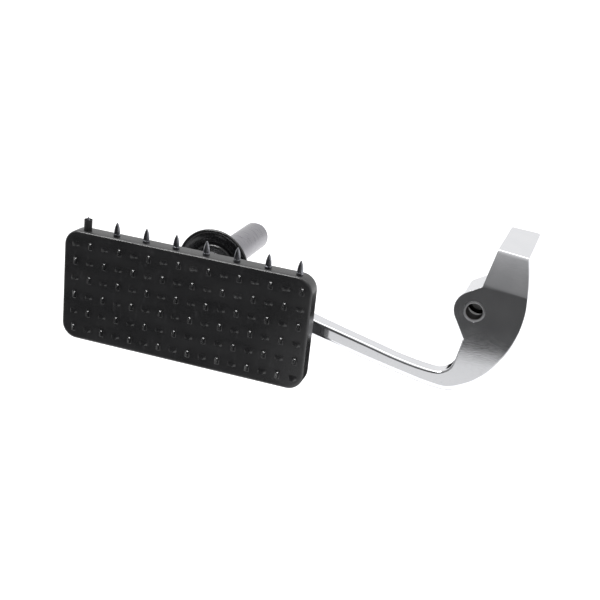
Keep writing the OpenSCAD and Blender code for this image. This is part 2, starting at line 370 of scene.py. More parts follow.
def polished_casting():
    """Buffed cast aluminium: bright, with faint hand-buffing streaks, slow waves and tiny pits, and
    near-black painted shade on the wall of the slide bore."""
    made = Finish("polished_casting", (0.82, 0.83, 0.85), 0.10, 1.0)
    streaks = made.noise(made.stretched((260, 1500, 900)), 1.0, 4.0, 0.6)
    waves = made.noise(made.place, 26.0, 2.0)
    pits = made.noise(made.place, 900.0, 2.0)
    pit_mask = made.spread(pits, 0.0, 1.0, 0.70, 0.78)
    patches = made.noise(made.place, 60.0, 4.0)
    tint = made.blend(patches, (0.79, 0.80, 0.83), (0.86, 0.86, 0.88))
    roughness = made.math("ADD", made.spread(patches, 0.07, 0.12), made.spread(streaks, -0.02, 0.03))
    relief = made.bump(waves, 0.10, 0.0012)
    relief = made.bump(streaks, 0.05, 0.0002, relief)
    relief = made.bump(pit_mask, -0.15, 0.0001, relief)
    radius, _ = about_axis(made, 0, 0)
    # Painted shade: inside the slide bore's radius the casting is near black and not metallic.
    out_of_bore_shade = made.spread(radius, 0.0, 1.0, (BUSH_R + 0.1) * MM, (BUSH_R + 0.3) * MM)
    metal = made.blend(pit_mask, tint, (0.45, 0.46, 0.48))
    return made.wear(Base_Color=made.blend(out_of_bore_shade, (0.02, 0.02, 0.02), metal), Metallic=out_of_bore_shade,
                     Roughness=roughness, Normal=relief)


def turned_metal(name, colour, roughness, x=AXIS_X, z=AXIS_Z, groove=0.12):
    """Metal turned on a lathe: rings about the axis on faces and threads of light along cylinders."""
    made = Finish(name, colour, roughness, 1.0)
    radius, along = about_axis(made, x, z)
    rings = made.lines(made.math("ADD", radius, along), 4200.0)
    smudges = made.noise(made.place, 70.0, 4.0)
    dark = tuple(0.86 * c for c in colour)
    return made.wear(
        Base_Color=made.blend(made.spread(smudges, 0, 1), dark, colour),
        Roughness=made.math("ADD", made.spread(rings, roughness - 0.05, roughness + 0.06),
                            made.spread(smudges, -0.02, 0.05)),
        Normal=made.bump(rings, groove, 0.00008))


def bush_metal():
    """Turned steel ring whose bore wall and inner surfaces are painted near black as shade; only the outer
    end faces show steel.
    """
    steel = (0.40, 0.40, 0.41)
    made = Finish("bush_steel", steel, 0.30, 1.0)
    radius, along = about_axis(made, 0, 0)
    # Painted shade: the bore wall, and every surface more than about 2 mm in from the hub's front and
    # back, get a near-black, non-metallic, slightly mottled colour; only the outer end faces stay steel.
    ring = made.spread(radius, 0.0, 1.0, (ROD_BORE_R + 0.05) * MM, (ROD_BORE_R + 0.35) * MM)
    ends = made.spread(made.math("ABSOLUTE", along), 0.0, 1.0, (BACK - 2.0) * MM, (BACK - 1.2) * MM)
    face = made.math("MULTIPLY", ring, ends)
    rings = made.lines(made.math("ADD", radius, along), 4200.0)
    bore_shade_noise = made.noise(made.place, 300.0, 4.0)
    wall = made.blend(bore_shade_noise, (0.016, 0.015, 0.014), (0.030, 0.028, 0.026))
    return made.wear(
        Base_Color=made.blend(face, wall, steel), Metallic=face,
        Specular_IOR_Level=made.math("MULTIPLY_ADD", face, 0.42, 0.08),
        Roughness=made.math("SUBTRACT", made.spread(rings, 0.52, 0.60),
                            made.math("MULTIPLY", face, 0.26)),
        Normal=made.bump(rings, 0.10, 0.00008))


def satin_tube():
    """Stainless tube, brushed round, with a soft grey sheen."""
    colour = (0.29, 0.285, 0.305)
    made = Finish("satin_tube", colour, 0.3, 1.0)
    _, along = about_axis(made, AXIS_X, AXIS_Z)
    brushing = made.lines(along, 5200.0)
    scuffs = made.noise(made.stretched((90, 420, 90)), 1.0, 4.0)
    return made.wear(
        Base_Color=made.blend(made.spread(scuffs, 0, 1), (0.24, 0.235, 0.255), colour),
        Roughness=made.math("ADD", made.spread(brushing, 0.25, 0.36), made.spread(scuffs, -0.02, 0.05)),
        Normal=made.bump(brushing, 0.06, 0.00006))


def black_moulding(name="black_moulding", colour=(0.016, 0.016, 0.017), roughness=0.30):
    """Moulded black plastic: fine grain from the tool, slight flow marks and rubbed high spots. Points
    that stand proud of the plate's face, such as the teeth, are worn smooth."""
    made = Finish(name, colour, roughness)
    made.shader.inputs["Specular IOR Level"].default_value = 0.45
    grain = made.noise(made.place, 2600.0, 3.0)
    flow = made.noise(made.stretched((24, 60, 70)), 1.0, 4.0)
    rubbed = made.noise(made.stretched((300, 300, 120)), 1.0, 5.0, 0.6)
    scuff = made.spread(rubbed, 0.0, 1.0, 0.58, 0.75)
    darker, paler, rubbed_colour = (tuple(share * c for c in colour) for share in (0.8, 1.15, 1.7))
    front = made.add("ShaderNodeSeparateXYZ", Vector=made.place).outputs["Y"]
    worn = made.spread(front, 0.16, 0.0, (PLATE_FACE - 0.6) * MM, (PLATE_FACE - 0.2) * MM)
    rough = made.math("ADD", made.spread(flow, roughness - 0.06, roughness + 0.05),
                      made.spread(grain, -0.03, 0.04))
    base = made.blend(made.spread(flow, 0, 1), darker, paler)
    relief = made.bump(flow, 0.06, 0.0008)
    relief = made.bump(grain, 0.18, 0.00010, relief)
    return made.wear(
        Base_Color=made.blend(scuff, base, rubbed_colour),
        Roughness=made.math("SUBTRACT", rough, worn),
        Normal=relief)


def glossy_guard():
    """Polished black phenolic: deep gloss with faint polishing swirls."""
    made = Finish("glossy_guard", (0.010, 0.010, 0.011), 0.24)
    made.shader.inputs["Coat Weight"].default_value = 0.12
    made.shader.inputs["Coat Roughness"].default_value = 0.12
    radius, along = about_axis(made, AXIS_X, AXIS_Z)
    swirls = made.lines(made.math("ADD", radius, along), 1500.0)
    dust = made.noise(made.place, 240.0, 5.0, 0.7)
    return made.wear(
        Base_Color=made.blend(made.spread(dust, 0, 1, 0.55, 0.75), (0.009, 0.009, 0.010),
                              (0.016, 0.016, 0.018)),
        Roughness=made.math("ADD", made.spread(swirls, 0.20, 0.27), made.spread(dust, -0.01, 0.05)),
        Normal=made.bump(swirls, 0.04, 0.00005))


def spike_steel():
    """Ground tool steel: dark grey, with fine turning lines across the spike."""
    made = Finish("spike_steel", (0.40, 0.41, 0.44), 0.3, 1.0)
    height = made.add("ShaderNodeSeparateXYZ", Vector=made.place).outputs["Z"]
    rings = made.lines(height, 6000.0)
    stain = made.noise(made.place, 320.0, 4.0)
    return made.wear(
        Base_Color=made.blend(made.spread(stain, 0, 1), (0.18, 0.183, 0.20), (0.32, 0.325, 0.35)),
        Roughness=made.math("ADD", made.spread(rings, 0.22, 0.34), made.spread(stain, -0.02, 0.06)),
        Normal=made.bump(rings, 0.14, 0.00006))


def plated_steel():
    """Bright zinc plate with a faint bluish bloom."""
    made = Finish("plated_steel", (0.62, 0.64, 0.67), 0.28, 1.0)
    bloom = made.noise(made.place, 380.0, 5.0, 0.6)
    return made.wear(
        Base_Color=made.blend(made.spread(bloom, 0, 1), (0.55, 0.57, 0.61), (0.70, 0.71, 0.72)),
        Roughness=made.spread(bloom, 0.20, 0.38),
        Normal=made.bump(bloom, 0.08, 0.00008))


def moulded_nylon():
    """Off-white nylon with soft mottling."""
    made = Finish("moulded_nylon", (0.78, 0.75, 0.66), 0.42)
    made.shader.inputs["Subsurface Weight"].default_value = 0.1
    made.shader.inputs["Subsurface Scale"].default_value = 0.002
    mottle = made.noise(made.place, 420.0, 4.0)
    return made.wear(
        Base_Color=made.blend(made.spread(mottle, 0, 1), (0.72, 0.69, 0.60), (0.82, 0.79, 0.71)),
        Roughness=made.spread(mottle, 0.36, 0.5),
        Normal=made.bump(mottle, 0.10, 0.0001))


CASTING = polished_casting()
TUBE = satin_tube()
PLASTIC = black_moulding()
SLEEVE = black_moulding("sleeve_rubber", (0.016, 0.016, 0.017), 0.5)
GUARD = glossy_guard()
SPIKE = spike_steel()
TURNED = turned_metal("turned_aluminium", (0.76, 0.77, 0.79), 0.26)
SPACER = turned_metal("spacer_aluminium", (0.80, 0.80, 0.82), 0.44)
BUSH = bush_metal()
SPRING = turned_metal("spring_steel", (0.46, 0.46, 0.48), 0.3)
BRONZE = turned_metal("bronze", (0.72, 0.48, 0.25), 0.3)
PLATED = plated_steel()
NYLON = moulded_nylon()


# ---- Cast arm -------------------------------------------------------------------------------

HEAD_TOP = 48.3
HEAD_LEFT = 8.5
HEAD_TILT = 0.10
TAB_TILT = 0.05
TAB_END = packed("arm")[1][1]
TAB_T = 5.0
TAB_ROUND = 1.6
TAB_SWING = np.linspace(0, np.pi / 2, 7)[1:]
UNDER_FILLET = 12.0
FLANK_LOW = (-5.2, -24.0)
FLANK_HIGH = (2.7, 20.4)
LEAN = 10.5 / (HEAD_TOP - FLANK_HIGH[1])
SLOPE_TOP = 18.0
SLOPE_FOOT = 50.0


def run_z(x):
    """Height of the straight run's middle line."""
    return AXIS_Z - RUN_DROP - RUN_SLOPE * (x - AXIS_X)


RUN_STATIONS = [AXIS_X, -122, BEND_START]
OUTER_KEYS = [(x, run_z(x) - RUN_H / 2) for x in RUN_STATIONS] + [
    (-44, -66.3), (-26, -69.4), (-9.5, -69.5), (5, -62.4), (16.4, -51.6), (25.3, -38.6), (31.8, -25),
    (36, -9), (37.8, 6), (37, 20), (35.2, 33), (31.5, HEAD_TOP)]
OUTER_RUNGS = [0, 2, 3, 4, 4.6, 5.1, 5.7, 6.3, 6.9, 7.5, 8.2, 8.9, 9.55, 10.4, 11.3]
INNER_KEYS = [(x, run_z(x) + RUN_H / 2) for x in RUN_STATIONS] + [
    (-56, -50.7), (-36, -54.1), (-22, -55), (-15.5, -52.8), (-11, -48.6), (-8.6, -42), (-6.8, -33),
    FLANK_LOW]
INNER_RUNGS = [0, 2, 3, 3.6, 4.2, 4.8, 5.2, 5.6, 6.0, 6.5, 7.0]
HUB_RUNGS = (8.0, 9.0)
HUB_ANGLES = (208.4, 121.5)
CREASE_RUNG = 9.5
TOP_RUNG = 11.3
# The skin of the run starts behind the plate, and leaves the stretch next to the eye open
SKIN_RUNG = 0.1 + 4 * 2.7 / 11


def outer_edge(rung):
    """Outer edge of the arm in X and Z, at places counted in rungs from the eye to the head."""
    return through(OUTER_KEYS, np.interp(rung, OUTER_RUNGS, np.arange(len(OUTER_KEYS))))


def inner_edge(rung):
    """Inner edge: the curve up to the hub's lower flank, a line to the hub's circle, the circle, and a
    line to the crease."""
    fine = np.linspace(0, CREASE_RUNG, 2400)
    path = through(INNER_KEYS, np.interp(fine, INNER_RUNGS, np.arange(len(INNER_KEYS))))
    angle = np.radians(np.interp(fine, HUB_RUNGS, HUB_ANGLES))
    circle = HUB_R * np.stack([np.cos(angle), np.sin(angle)], axis=1)
    low = np.clip((fine - INNER_RUNGS[-1]) / (HUB_RUNGS[0] - INNER_RUNGS[-1]), 0, 1)[:, None]
    flank = (1 - low) * np.array(FLANK_LOW) + low * circle
    high = np.clip((fine - HUB_RUNGS[1]) / (CREASE_RUNG - HUB_RUNGS[1]), 0, 1)[:, None]
    neck = (1 - high) * circle + high * np.array(FLANK_HIGH)
    path = np.where(fine[:, None] > INNER_RUNGS[-1], flank, path)
    path = np.where(fine[:, None] > HUB_RUNGS[1], neck, path)
    return np.stack([np.interp(rung, fine, path[:, 0]), np.interp(rung, fine, path[:, 1])], axis=1)


def ramp(value, start, ease):
    """Zero below start and value - start above it, with the bend eased as a hyperbola."""
    offset = value - start
    return 0.5 * (offset + np.sqrt(offset**2 + ease**2))


def head_height(x, z):
    """Height square to the head, which leans a little to the outer side."""
    return z + HEAD_TILT * (x - HEAD_LEFT)


def front_y(height):
    """Front of the hub, leaning back above the crease."""
    return FRONT + LEAN * ramp(height, FLANK_HIGH[1], 1.2)


def back_y(height):
    """Back of the arm: the hub's full depth, sloping to the run's depth below it."""
    slope = (BACK - EYE_BACK) / (SLOPE_FOOT - SLOPE_TOP)
    return BACK - slope * (ramp(-height, SLOPE_TOP, 3.0) - ramp(-height, SLOPE_FOOT, 3.0))


def head_lines():
    """Front line of the head and tab in Y and height (leaning face, top edge, top) and their back line
    (back, fillet, underside), point for point."""
    height_line = np.linspace(FLANK_HIGH[1], HEAD_TOP - 2.6, 30)[1:]
    lean = np.stack([front_y(height_line), height_line], axis=1)
    crest = softened([lean[-1], (front_y(HEAD_TOP), HEAD_TOP), (4.0, HEAD_TOP)], 2.4, 14)[1:-1]
    near, end = 22, TAB_END - TAB_ROUND
    top_y = np.concatenate([np.linspace(crest[-1, 0], near, 16)[1:], np.linspace(near, end, 10)[1:],
                            end + TAB_ROUND * np.sin(TAB_SWING)])
    top = np.stack([top_y, np.full_like(top_y, HEAD_TOP)], axis=1)
    front_line = np.concatenate([lean, crest, top])

    under = HEAD_TOP - TAB_T
    centre_y, centre_z = BACK + UNDER_FILLET, under - UNDER_FILLET
    climb_z = np.linspace(FLANK_HIGH[1], centre_z, 30)[1:]
    climb = np.stack([np.full_like(climb_z, BACK), climb_z], axis=1)
    bend_a = np.linspace(np.pi, np.pi / 2, len(crest) + 16)[1:]
    bend = np.stack([centre_y + UNDER_FILLET * np.cos(bend_a),
                     centre_z + UNDER_FILLET * np.sin(bend_a)], axis=1)
    rest_y = np.maximum(top_y[15:], centre_y)
    rest = np.stack([rest_y, np.full_like(rest_y, under)], axis=1)
    back_line = np.concatenate([climb, bend, rest])[:len(front_line)]
    return front_line, back_line


def head_rail(line, is_outer):
    """Rail of the head and tab: a line in Y and height, at the head's left edge or at the arm's outer
    edge. The head tilts a little to the outer side, and the tab's end tilts less."""
    y, height = line.T
    tilt = np.interp(y, [FRONT, FRONT + 14, TAB_END], [HEAD_TILT, HEAD_TILT, TAB_TILT])
    if is_outer:
        edge = outer_edge(np.linspace(8.9, TOP_RUNG, 200))
        x = np.interp(height - tilt * 25, edge[:, 1], edge[:, 0])
    else:
        left_slope = (HEAD_LEFT - FLANK_HIGH[0]) / (HEAD_TOP - FLANK_HIGH[1])
        x = FLANK_HIGH[0] + left_slope * (height - FLANK_HIGH[1])
    return np.stack([x, y, height - tilt * (x - HEAD_LEFT)], axis=1)


def arm_rails():
    """The four rails from the run round the bend, up the hub and over the head to the tab's end, with
    the corner radii and the inset of each station."""
    rung = np.concatenate([np.linspace(SKIN_RUNG, 2.8, 8), np.linspace(2.9, 7.9, 120),
                           np.linspace(7.95, 9.0, 50), np.linspace(9.02, CREASE_RUNG, 14)])
    inner, outer = inner_edge(rung), outer_edge(rung)
    front_line, back_line = head_lines()
    rails = []
    for edge, depth, line, is_outer in ((inner, front_y, front_line, False),
                                        (outer, front_y, front_line, True),
                                        (outer, back_y, back_line, True),
                                        (inner, back_y, back_line, False)):
        x, z = edge.T
        low = np.stack([x, depth(head_height(x, z)), z], axis=1)
        rails.append(np.concatenate([low, head_rail(line, is_outer)]))
    inset = np.zeros(len(rails[0]))
    inset[-len(TAB_SWING):] = TAB_ROUND * (1 - np.cos(TAB_SWING))
    return rails, corner_radii(rung, front_line, inset), inset


def corner_radii(rung, front_line, inset):
    """Radii of the four corners: crisp on the hub and the head's front, soft along the run and the
    bend, and smaller where the tab's end is rounded off."""
    place = np.concatenate([rung, np.full(len(front_line), 10.0)])
    tab = np.concatenate([np.zeros(len(rung)), np.clip((front_line[:, 0] - 2) / 12, 0, 1)])
    front_inner = np.interp(place, [0, 4, 5, 7, 8], [2.0, 2.0, 1.5, 1.2, 0.7]) + 0.5 * tab
    front_outer = np.interp(place, [0, 3, 5.5, 7.2, 8.2], [4.6, 4.8, 4.8, 2.2, 0.8]) + 0.7 * tab
    back_outer = np.interp(place, [0, 4, 8, 9], [3.0, 3.4, 3.0, 2.0])
    back_inner = np.interp(place, [0, 4, 8, 9], [2.6, 2.6, 2.2, 2.0])
    shrink = np.clip(1 - inset / 2.4, 0.25, 1)
    return [r * shrink for r in (front_inner, front_outer, back_outer, back_inner)]


def make_arm():
    """Casting: the skin on four rails, with the eye turned round the handle axis, and the bores cut."""
    rails, radii, inset = arm_rails()
    body = skin(four_rails(rails, radii, inset, steps=6), True, True)
    arm = piece("arm_casting", body, CASTING, ARM_BODY, "cast_aluminium", "arm")
    eye_profile = softened([(0, FRONT), (EYE_R, FRONT), (EYE_R, EYE_BACK), (0, EYE_BACK)], 1.2)
    carved(arm, [turned(eye_profile, AXIS_X, 0, AXIS_Z)], "UNION")
    past, wall, lip, flare = 3, BUSH_R + 0.05, BUSH_R + 0.6, BUSH_R + 1.6
    hub_bore = softened([(0, FRONT - past), (flare, FRONT - past), (lip, FRONT - 0.2),
                         (wall, FRONT + 0.5), (wall, BACK - 0.5), (lip, BACK + 0.2),
                         (flare, BACK + past), (0, BACK + past)], 0.1)
    eye_bore = [(0, FRONT - past), (SHANK_BORE_R, FRONT - past), (SHANK_BORE_R, EYE_BACK + past),
                (0, EYE_BACK + past)]
    return carved(arm, [turned(hub_bore), turned(eye_bore, AXIS_X, 0, AXIS_Z)])


def make_bushes():
    """Slide bushes pressed into the hub."""
    for node, low, high in (("slide_bush_front", bush_low, bush_high),
                            ("slide_bush_rear", rear_bush_low, rear_bush_high)):
        ring = turned(ring_profile(BUSH_R, ROD_BORE_R, low[1], high[1], 0.55), closed=True)
        piece(node + "_turned", ring, BUSH, ARM_BODY, "bush_steel", node)


# ---- Handle and guard -----------------------------------------------------------------------

def on_handle(profile, closed=False):
    """Solid turned about the handle axis."""
    return turned(profile, AXIS_X, 0, AXIS_Z, count=128, closed=closed)


def make_guard():
    """Dished guard: hollow side to the plate, a raised collar, a rolled rim and a domed back."""
    collar, neck = 19.0, SHANK_BORE_R
    start, end = SPACER_END, TUBE_START
    rim = GUARD_R
    t = np.linspace(0, 1, 16)
    hollow = np.stack([collar + 1.2 + (rim - collar - 5.2) * t, start + 5.8 - 2.9 * t**2], axis=1)
    swing = np.radians(np.linspace(-150, 75, 14))
    lip = np.stack([rim - 1.7 + 1.7 * np.cos(swing), start + 3.1 + 1.7 * np.sin(swing)], axis=1)
    dome = np.stack([rim - 2.2 - (rim - TUBE_R - 4.2) * t[1:],
                     start + 5.1 + 4.4 * np.sqrt(1 - (1 - t[1:])**2)], axis=1)
    mouth = softened([(neck, start + 4), (neck, start), (collar - 1.6, start), (collar + 0.2, start + 1.8),
                      (collar + 0.6, start + 5.8), hollow[1]], [0.2, 1.6, 1.8, 1.0])[:-1]
    shoulder = softened([dome[-1], (TUBE_R + 1.2, end), (neck, end), (neck, start + 4)], [0.8, 0.2])[1:]
    profile = np.concatenate([mouth, hollow[1:-1], lip, dome, shoulder[:-1]])
    piece("hand_guard_dish", on_handle(profile, True), GUARD, ARM_BODY, "black_gloss", "hand_guard")


def make_handle():
    """Satin tube with its domed end plug, and the spacer between arm and guard."""
    wall = 2.0
    tube = ring_profile(TUBE_R, TUBE_R - wall, TUBE_START, TUBE_END, 0.35)
    piece("handle_tube_satin", on_handle(tube, True), TUBE, ARM_BODY, "satin_tube", "handle_tube")
    plug_low, plug_high = packed("end_plug")
    seat = TUBE_R - wall - 0.05
    dome = plug_high[1] - TUBE_END
    swing = np.linspace(0, np.pi / 2, 14)
    corner, rim = 1.5 * dome, 0.35
    cap = np.stack([TUBE_R - corner + corner * np.cos(swing),
                    TUBE_END + rim + (dome - rim) * np.sin(swing)], axis=1)
    spigot = softened([(0, plug_low[1]), (seat, plug_low[1]), (seat, TUBE_END), (TUBE_R - 0.4, TUBE_END),
                       (TUBE_R, TUBE_END + rim)], [1.0, 0.1, 0.2])[:-1]
    plug = on_handle(np.concatenate([spigot, cap, [(0, plug_high[1])]]))
    piece("end_plug_domed", plug, TUBE, ARM_BODY, "satin_tube", "end_plug")
    spacer_r = (eye_high[0] - eye_low[0]) / 2
    spacer = on_handle(ring_profile(spacer_r, SHANK_BORE_R, EYE_BACK, SPACER_END, 0.8), True)
    piece("guard_spacer_turned", spacer, SPACER, ARM_BODY, "turned_aluminium", "guard_spacer")


# ---- Grip plate -----------------------------------------------------------------------------

def plate_ring(inset, y, hold=3.0, steps=10):
    """Rounded rectangle of the plate at each inset and place along Y: the corners keep their centres
    and lose the inset from their radius, and held points keep the long sides flat."""
    inset, y = np.asarray(inset)[:, None], np.asarray(y)[:, None]
    half_w, half_h = PLATE_W / 2 - CORNER_R, PLATE_H / 2 - CORNER_R
    turn = np.linspace(0, np.pi / 2, steps + 1)
    xs, zs = [], []
    for quarter, (sx, sz) in enumerate(((1, 1), (-1, 1), (-1, -1), (1, -1))):
        a = turn + quarter * np.pi / 2
        arc_x = sx * half_w + (CORNER_R - inset) * np.cos(a)
        arc_z = sz * half_h + (CORNER_R - inset) * np.sin(a)
        before = np.array([-np.sin(a[0]), np.cos(a[0])]) * -hold
        after = np.array([-np.sin(a[-1]), np.cos(a[-1])]) * hold
        xs += [arc_x[:, :1] + before[0], arc_x, arc_x[:, -1:] + after[0]]
        zs += [arc_z[:, :1] + before[1], arc_z, arc_z[:, -1:] + after[1]]
    x, z = np.concatenate(xs, axis=1), np.concatenate(zs, axis=1)
    return np.stack([PLATE_X + x, np.broadcast_to(y, x.shape), PLATE_Z + z], axis=-1)


def block(x, z, half_x, half_z, levels, drift=(0.0, 0.0)):
    """Tapered block that rises along Y: each level is (y, how far its sides come in), each ring is a
    rectangle with cut corners, and its middle drifts in X and Z by a share of the coming in."""
    y, come_in = np.asarray(levels, float).T
    hx, hz = half_x - come_in, half_z - come_in
    cut = 0.3 * np.minimum(hx, hz)
    signs = [(1, 1), (-1, 1), (-1, -1), (1, -1)]
    ring = []
    for number, (sx, sz) in enumerate(signs):
        ends = [(sx * hx, sz * (hz - cut)), (sx * (hx - cut), sz * hz)]
        ring += ends if number % 2 == 0 else ends[::-1]
    middle_x = x + drift[0] * np.maximum(come_in, 0)
    middle_z = z + drift[1] * np.maximum(come_in, 0)
    grid = np.stack([np.stack([middle_x + px, y, middle_z + pz], axis=-1) for px, pz in ring], axis=1)
    return skin(grid, True, True)


def tooth_places():
    """Column and row places of the teeth, and whether each tooth lies or stands."""
    cols, rows, pitch_x, pitch_z, shift = 16, 6, 12.8, 14.4, 1.8
    c, r = (n.ravel() for n in np.meshgrid(np.arange(cols), np.arange(rows)))
    x = AXIS_X + shift + (c - (cols - 1) / 2) * pitch_x
    z = PLATE_Z + (r - (rows - 1) / 2) * pitch_z
    return zip(x, z, (c + r) % 2 == 1)


def chisel_tooth(x, z, lying):
    """Chisel tooth: a ridge that narrows towards its edge, on a small fillet. A lying tooth has a flat
    slope above and a steep one below, and a standing one is steep to its right."""
    levels = np.array([(0.4, -0.5), (-0.05, -0.5), (-0.35, 0.0), (-TOOTH_H + 0.3, 1.28), (-TOOTH_H, 1.45)])
    levels[:, 0] += PLATE_FACE
    half_long = 2.9 if lying else 3.1
    if lying:
        return block(x, z, half_long, 1.6, levels, (0.0, -0.9))
    return block(x, z, 1.6, half_long, levels, (0.9, 0.0))


def make_plate():
    """Grip plate: hollow moulding with a rim, ribs, a pad round the pivot and bosses for the spikes."""
    outline = softened([(9, PLATE_FACE), (0, PLATE_FACE), (0.4, PLATE_BACK), (RIB, PLATE_BACK),
                        (RIB + 0.6, INNER_FACE), (9, INNER_FACE)], [3.2, 1.2, 1.2, 2.0], 7)
    shell = skin(plate_ring(outline[:, 0], outline[:, 1]), True, True)
    rib_levels = [(INNER_FACE - 1, -0.6), (INNER_FACE, -0.6), (INNER_FACE + 1, -0.15),
                  (PLATE_BACK - 1.4, 0.15), (PLATE_BACK - 0.9, 0.4)]
    pad_r = FLANGE_R + 2.5
    half_rib = (PLATE_W / 2 - pad_r) / 2
    ribs = [block(AXIS_X + dx, PLATE_Z, RIB / 2, PLATE_H / 2 - 1, rib_levels) for dx in RIB_PLACES]
    ribs += [block(AXIS_X + side * (pad_r + half_rib - 0.5), PLATE_Z, half_rib, RIB / 2, rib_levels)
             for side in (-1, 1)]
    pocket_r, pocket_floor = 13.0, FLANGE_FRONT - 5.5
    pad = softened([(0, INNER_FACE - 1), (pad_r + 2, INNER_FACE - 1), (pad_r + 1.2, INNER_FACE),
                    (pad_r, INNER_FACE + 2), (pad_r - 0.2, PLATE_BACK - 1.2),
                    (FLANGE_R + 0.5, PLATE_BACK - 1.2), (FLANGE_R + 0.4, FLANGE_FRONT),
                    (pocket_r, FLANGE_FRONT), (pocket_r, pocket_floor), (0, pocket_floor)],
                   [0.3, 0.5, 1.2, 0.7, 0.6, 0.4, 0.5, 0.8])
    boss = softened([(0, -13), (4.2, -13), (4.6, -12), (4.6, -1), (0, -1)], 0.8)
    bosses = [turned(boss, x, y, z, along="z", count=32) for x, y, z in spike_places()]
    teeth = [chisel_tooth(x, z, lying) for x, z, lying in tooth_places()]
    moulding = joined([shell, on_handle(pad)] + ribs + bosses + teeth)
    piece("grip_plate_moulding", moulding, PLASTIC, GRIP_BODY, "black_plastic", "grip_plate")


def spike_places():
    """Foot of each spike on the plate's edge, from left to right."""
    places = []
    for number in range(1, 9):
        low, high = packed(f"spike_{number}")
        places.append(((low[0] + high[0]) / 2, (low[1] + high[1]) / 2, plate_high[2]))
    return places


def make_spikes():
    """Turned spikes: a slender bullet-shaped point on a collar, and a sleeve over the first one."""
    height = packed("spike_2")[1][2] - plate_high[2]
    base_r, tip_r, collar_r, collar_h = 2.4, 0.4, 2.8, 1.5
    t = np.linspace(0, 1, 22)
    radius = tip_r + (base_r - tip_r) * (1 - t**2.4)
    level = collar_h + (height - 0.2 - collar_h) * t
    tip = [(0.2, height - 0.04), (0, height)]
    foot = softened([(0, -12), (1.5, -12), (1.5, 0), (collar_r, 0), (collar_r, collar_h),
                     (base_r, collar_h + 0.1)], [0.4, 0.05, 0.2, 0.35], 4)[:-1]
    profile = np.concatenate([foot, np.stack([radius, level], axis=1), tip])
    for number, (x, y, z) in enumerate(spike_places(), 1):
        spike = turned(profile, x, y, z, "z", 48)
        piece(f"spike_{number}_turned", spike, SPIKE, GRIP_BODY, "spike_steel", f"spike_{number}")
    low, high = packed("spike_sleeve")
    sleeve = ring_profile((high[0] - low[0]) / 2, 2.93, 0, high[2] - low[2], 0.4)
    x, y, z = spike_places()[0]
    cover = turned(sleeve, x, y, z, "z", 64, True)
    piece("spike_sleeve_moulded", cover, SLEEVE, GRIP_BODY, "black_plastic", "spike_sleeve")


def make_flange():
    """Pivot flange screwed into the back of the plate."""
    bore, boss_r = 7.55, 13.0
    middle = (FLANGE_FRONT + BOSS_END) / 2
    profile = softened([(bore, middle), (bore, FLANGE_FRONT), (FLANGE_R, FLANGE_FRONT),
                        (FLANGE_R, PLATE_BACK), (boss_r + 0.4, PLATE_BACK), (boss_r, BOSS_END),
                        (bore, BOSS_END), (bore, middle)], [0.4, 0.4, 0.8, 1.8, 0.8, 0.4], 6)[:-1]
    flange = on_handle(profile, True)
    piece("pivot_flange_turned", flange, TURNED, GRIP_BODY, "turned_aluminium", "pivot_flange")


def finish_kept_nodes():
    """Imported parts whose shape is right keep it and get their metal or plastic."""
    for node, material in (("pivot_stud", PLATED), ("thrust_washer", NYLON), ("wave_washer", SPRING),
                           ("handle_core", TURNED), ("core_washer", PLATED), ("lock_nut", PLATED),
                           ("flange_bush", BRONZE), ("flange_screws", PLATED)):
        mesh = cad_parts[node].data
        mesh.materials.clear()
        mesh.materials.append(material)


# ---- Studio ---------------------------------------------------------------------------------

def make_camera():
    """Camera in front of the plate, above it and a little to the hub's side, tilted a few degrees."""
    place = Vector((91.58, FRONT - 785.08, 284.96)) * MM
    aim = Vector((-136.3, FRONT - 2.7, -19.6)) * MM
    roll = math.radians(6.39)
    data = bpy.data.cameras.new("camera")
    data.lens = 66
    data.sensor_width = 36
    data.clip_start = 0.01
    data.clip_end = 60
    camera = bpy.data.objects.new("camera", data)
    camera.rotation_mode = "QUATERNION"
    camera.location = place
    camera.rotation_quaternion = (aim - place).to_track_quat("-Z", "Y") @ Quaternion((0, 0, 1), roll)
    bpy.context.scene.collection.objects.link(camera)
    bpy.context.scene.camera = camera


def glow(name, strength):
    """Plain material that gives white light."""
    made = bpy.data.materials.new(name)
    made.use_nodes = True
    tree = made.node_tree
    tree.nodes.clear()
    light = tree.nodes.new("ShaderNodeEmission")
    light.inputs["Color"].default_value = (1, 1, 1, 1)
    light.inputs["Strength"].default_value = strength
    out = tree.nodes.new("ShaderNodeOutputMaterial")
    tree.links.new(light.outputs[0], out.inputs["Surface"])
    return made, tree, light


def make_floor():
    """Large plain pale floor under the hanging object."""
    level, reach = -0.30, 9.0
    mesh = bpy.data.meshes.new("floor")
    side = np.linspace(-reach, reach, 3)
    x, y = np.meshgrid(side, side)
    points = np.stack([x, y, np.full_like(x, level)], axis=-1).reshape(-1, 3)
    index = np.arange(9).reshape(3, 3)
    quads = np.stack([index[:-1, :-1], index[:-1, 1:], index[1:, 1:], index[1:, :-1]], -1).reshape(-1, 4)
    mesh.from_pydata(points.tolist(), [], quads.tolist())
    floor = bpy.data.objects.new("floor", mesh)
    bpy.context.scene.collection.objects.link(floor)
    pale = Finish("pale_floor", (0.86, 0.86, 0.865), 0.9)
    pale.shader.inputs["Emission Color"].default_value = (1, 1, 1, 1)
    pale.shader.inputs["Emission Strength"].default_value = 0.55
    mesh.materials.append(pale.material)


def grey_ramp(tree, stops):
    """Colour ramp with a grey at each place."""
    shade = tree.nodes.new("ShaderNodeValToRGB")
    elements = shade.color_ramp.elements
    while len(elements) < len(stops):
        elements.new(0.5)
    for element, (where, value) in zip(elements, stops):
        element.position = where
    for element, (where, value) in zip(elements, stops):
        element.color = (value, value, value, 1)
    return shade


